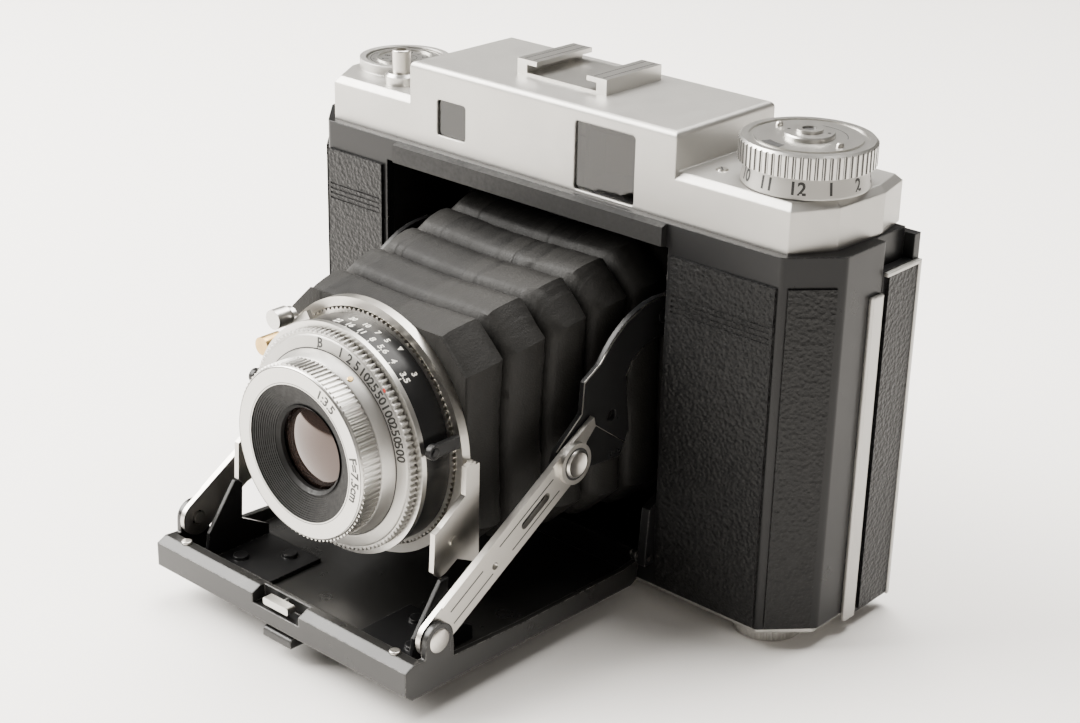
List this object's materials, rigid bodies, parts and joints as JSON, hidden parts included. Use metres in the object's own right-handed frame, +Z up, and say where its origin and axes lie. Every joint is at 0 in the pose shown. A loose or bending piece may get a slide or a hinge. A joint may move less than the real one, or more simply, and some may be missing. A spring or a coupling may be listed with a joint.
{
  "type": "folding camera",
  "caption": "Folding roll-film camera, open: chrome top, leather-covered body, drop bed with struts, pleated bellows and lens with leaf shutter.",
  "frame": {"origin": "mouth of the tripod socket, on the plane that the camera stands on", "axes": "+X to the right seen from the front, along the body; +Y from the lens towards the back; +Z up"},
  "size_m": [0.1391, 0.1018, 0.1027],
  "materials": {
    "black_enamel": "smooth black baked enamel with bare metal showing at worn edges",
    "satin_chrome": "fine satin chrome plate",
    "bright_nickel": "polished nickel plate with brushed faces",
    "leatherette": "black embossed leather with a pebbled grain",
    "bellows_cloth": "folded black leather cloth, greyed on the ridges",
    "lens_glass": "coated optical glass with a warm reflection",
    "window_glass": "clear flat glass",
    "brass": "bare lacquered brass",
    "blackened_steel": "matt blackened steel",
    "spool_steel": "black lacquered spool"
  },
  "bodies": {
    "root": {"body_shell": "black_enamel", "lens_chamber": "blackened_steel", "light_ledge": "black_enamel", "front_leather_right": "leatherette", "front_leather_left": "leatherette", "top_housing": "satin_chrome", "finder_window": "window_glass", "range_window": "window_glass", "finder_tunnel": "blackened_steel", "eyepiece": "black_enamel", "eyepiece_glass": "window_glass", "accessory_shoe": "satin_chrome", "release_collar": "satin_chrome", "bottom_plate": "satin_chrome", "tripod_bush": "satin_chrome", "door_hinge_pin": "bright_nickel", "hinge_brackets": "black_enamel", "bed_pins": "bright_nickel", "strut_brackets": "black_enamel", "bellows": "bellows_cloth"},
    "bed": {"bed": "black_enamel", "bed_leather": "leatherette", "guide_pins": "bright_nickel", "floor_links": "black_enamel", "bed_rivets": "bright_nickel"},
    "standard_carriage": {"guide_studs": "bright_nickel"},
    "standard": {"lens_standard": "bright_nickel", "shutter_case": "black_enamel", "shutter_blades": "blackened_steel", "aperture_blades": "blackened_steel", "rear_cell": "blackened_steel", "rear_glass": "lens_glass", "sync_post": "brass"},
    "lower_struts": {"lower_strut_right": "bright_nickel", "lower_strut_left": "bright_nickel", "joint_rivets": "bright_nickel"},
    "upper_struts": {"upper_strut_right": "black_enamel", "upper_strut_left": "black_enamel"},
    "door": {"back_door": "black_enamel", "door_leather": "leatherette", "pressure_plate": "blackened_steel"},
    "door_latch": {"door_latch": "satin_chrome"},
    "advance_knob": {"advance_knob": "satin_chrome", "counter_skirt": "satin_chrome", "winding_shaft": "bright_nickel", "take_up_spool": "spool_steel"},
    "supply_spool": {"supply_spool": "spool_steel"},
    "memo_dial": {"memo_dial": "satin_chrome"},
    "release_plunger": {"release_plunger": "bright_nickel"},
    "base_knob_right": {"base_knob_right": "satin_chrome"},
    "base_knob_left": {"base_knob_left": "satin_chrome"},
    "speed_ring": {"speed_ring": "satin_chrome"},
    "aperture_ring": {"aperture_ring": "satin_chrome"},
    "lens_front": {"focus_barrel": "satin_chrome", "name_ring": "satin_chrome", "ribbed_bezel": "blackened_steel", "front_glass": "lens_glass"},
    "cocking_lever": {"cocking_lever": "satin_chrome"},
    "latch_tab": {"latch_tab": "satin_chrome"},
    "stand_foot": {"stand_foot": "black_enamel"}
  },
  "joints": [
    {"name": "bed_fold", "type": "hinge", "parent": "root", "child": "bed", "pos_m": [0, -0.0109, 0.0107], "axis": [-1, 0, 0], "range_deg": [0, 90], "deforming": ["bellows"]},
    {"name": "standard_slide", "type": "slide", "parent": "bed", "child": "standard_carriage", "axis": [0, 0.5133, -0.8582], "range_m": [0, 0.03117]},
    {"name": "standard_level", "type": "hinge", "parent": "standard_carriage", "child": "standard", "pos_m": [0, -0.0589, 0.0467], "axis": [-1, 0, 0], "range_deg": [-90, 0]},
    {"name": "lower_strut_turn", "type": "hinge", "parent": "bed", "child": "lower_struts", "pos_m": [0, -0.0683, 0.0155], "axis": [-1, 0, 0], "range_deg": [0, 25.86]},
    {"name": "upper_strut_turn", "type": "hinge", "parent": "root", "child": "upper_struts", "pos_m": [0, -0.0028, 0.0601], "axis": [-1, 0, 0], "range_deg": [-52.94, 0]},
    {"name": "back_door_hinge", "type": "hinge", "parent": "root", "child": "door", "pos_m": [-0.0635, 0.0226, 0.0425], "axis": [0, 0, 1], "range_deg": [0, 120]},
    {"name": "door_latch_slide", "type": "slide", "parent": "root", "child": "door_latch", "axis": [0, 0, 1], "range_m": [0, 0.002]},
    {"name": "advance_turn", "type": "hinge", "parent": "root", "child": "advance_knob", "pos_m": [0.0579, 0.006, 0.0965], "axis": [0, 0, 1], "continuous": true},
    {"name": "supply_turn", "type": "hinge", "parent": "root", "child": "supply_spool", "pos_m": [-0.0516, 0.006, 0.0425], "axis": [0, 0, 1], "continuous": true},
    {"name": "memo_dial_turn", "type": "hinge", "parent": "root", "child": "memo_dial", "pos_m": [-0.052, 0.0093, 0.0925], "axis": [0, 0, 1], "continuous": true},
    {"name": "release_press", "type": "slide", "parent": "root", "child": "release_plunger", "axis": [0, 0, -1], "range_m": [0, 0.0018]},
    {"name": "base_knob_right_turn", "type": "hinge", "parent": "root", "child": "base_knob_right", "pos_m": [0.0606, 0.0004, 0.0015], "axis": [0, 0, 1], "continuous": true},
    {"name": "base_knob_left_turn", "type": "hinge", "parent": "root", "child": "base_knob_left", "pos_m": [-0.0528, 0.0004, 0.0015], "axis": [0, 0, 1], "continuous": true},
    {"name": "speed_ring_turn", "type": "hinge", "parent": "standard", "child": "speed_ring", "pos_m": [0, -0.061, 0.0417], "axis": [0, 1, 0], "range_deg": [0, 150]},
    {"name": "aperture_ring_turn", "type": "hinge", "parent": "standard", "child": "aperture_ring", "pos_m": [0, -0.0597, 0.0417], "axis": [0, 1, 0], "range_deg": [0, 70]},
    {"name": "focus_turn", "type": "hinge", "parent": "standard", "child": "lens_front", "pos_m": [0, -0.0655, 0.0417], "axis": [0, -1, 0], "range_deg": [0, 270]},
    {"name": "cocking_turn", "type": "hinge", "parent": "standard", "child": "cocking_lever", "pos_m": [0, -0.0545, 0.0417], "axis": [0, 1, 0], "range_deg": [0, 35]},
    {"name": "latch_tab_press", "type": "slide", "parent": "bed", "child": "latch_tab", "axis": [0, 1, 0], "range_m": [0, 0.0009]},
    {"name": "stand_foot_turn", "type": "hinge", "parent": "bed", "child": "stand_foot", "pos_m": [0, -0.0759, 0.00495], "axis": [-1, 0, 0], "range_deg": [0, 90]}
  ],
  "couplings": [
    {"joint": "standard_slide", "follows": "bed_fold", "m_per_rad": 0.019843},
    {"joint": "standard_level", "follows": "bed_fold", "ratio": -1},
    {"joint": "lower_strut_turn", "follows": "bed_fold", "ratio": 0.28736},
    {"joint": "upper_strut_turn", "follows": "bed_fold", "ratio": -0.58817}
  ]
}
